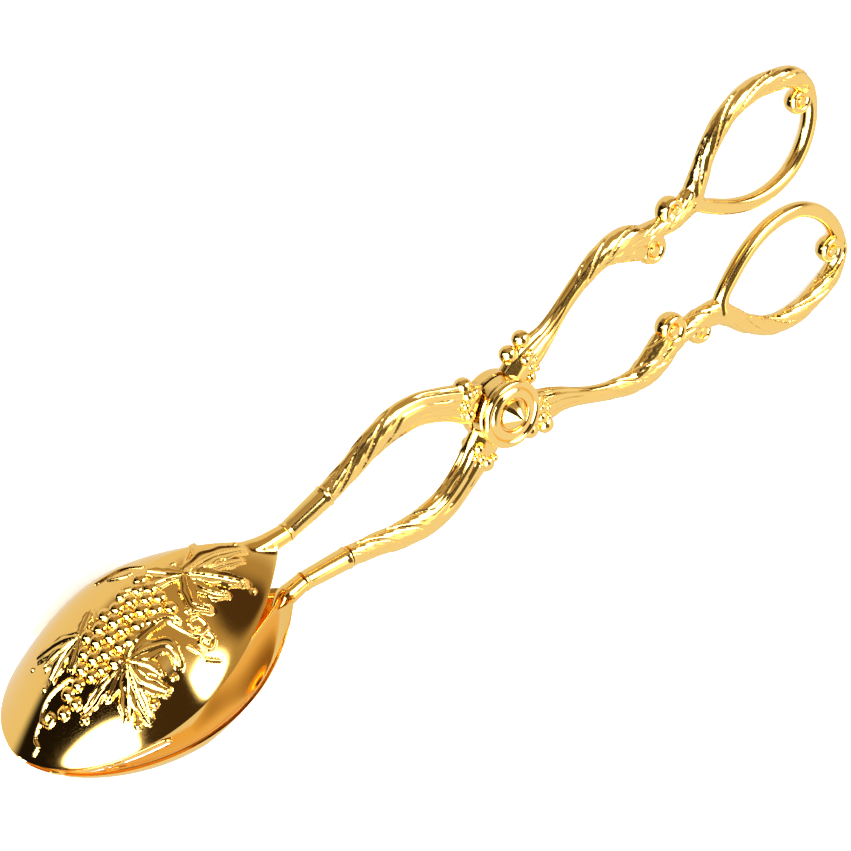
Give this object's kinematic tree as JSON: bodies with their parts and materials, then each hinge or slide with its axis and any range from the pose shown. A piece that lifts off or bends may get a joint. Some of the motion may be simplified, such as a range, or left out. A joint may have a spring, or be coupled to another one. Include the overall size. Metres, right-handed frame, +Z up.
{
  "type": "ice tongs",
  "caption": "Scissor-action serving tongs for ice: crossed cast arms with finger loops on one rivet, a spoon bowl facing a slotted fork bowl.",
  "frame": {"origin": "centre of the bounding box in plan, on the table that the tongs lie on", "axes": "+X along the tongs towards the finger loops, +Y across them towards the spoon bowl and the fork arm's loop, +Z up from the table; the rivet leans 6.4 degrees from +Z towards +X"},
  "size_m": [0.2236, 0.063, 0.0476],
  "materials": {
    "cast_gilt": "cast, chased, gold plated and polished bright",
    "sheet_gilt": "pressed sheet, gold plated, mirror polished",
    "turned_gilt": "turned, gold plated, polished"
  },
  "bodies": {
    "rear_arm": {"rear_handle": "cast_gilt", "spoon_bowl": "sheet_gilt", "spoon_ferrule": "cast_gilt", "pivot_rivet": "turned_gilt", "spacer_washer": "turned_gilt", "rear_washer": "turned_gilt"},
    "front_arm": {"front_handle": "cast_gilt", "fork_bowl": "sheet_gilt", "fork_ferrule": "cast_gilt", "pivot_rosette": "turned_gilt"}
  },
  "joints": [
    {"name": "scissor_pivot", "type": "hinge", "parent": "rear_arm", "child": "front_arm", "pos_m": [0.01209, 0, 0.0129], "axis": [0.1116, 0, 0.9938], "range_deg": [-0.3, 36]}
  ]
}
